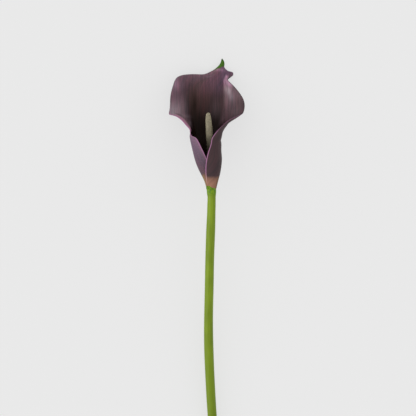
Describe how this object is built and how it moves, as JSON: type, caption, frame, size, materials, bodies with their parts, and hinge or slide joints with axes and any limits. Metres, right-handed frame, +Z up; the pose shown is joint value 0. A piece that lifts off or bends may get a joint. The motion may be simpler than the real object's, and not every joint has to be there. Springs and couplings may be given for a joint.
{
  "type": "calla lily flower",
  "caption": "Cut calla lily lying down: a dark purple spathe rolled into a lapped funnel round its spadix, on a long bare green stem.",
  "frame": {"origin": "middle of the object's box, on the surface that it lies on", "axes": "+X to the flower's right seen from above, +Y along the stem towards the flower's tip, +Z up, out of the open mouth of the funnel"},
  "size_m": [0.0699, 0.4823, 0.0542],
  "materials": {
    "spathe": "waxy satin petal, dark purple inside, pink along its edge, green at its tip, salmon at its foot",
    "spadix": "matt, finely beaded florets, grey beige",
    "stem": "smooth waxy green skin with faint lengthwise ribs, satin"
  },
  "bodies": {
    "root": {"spathe": "spathe", "spadix": "spadix", "stem": "stem"}
  },
  "joints": []
}
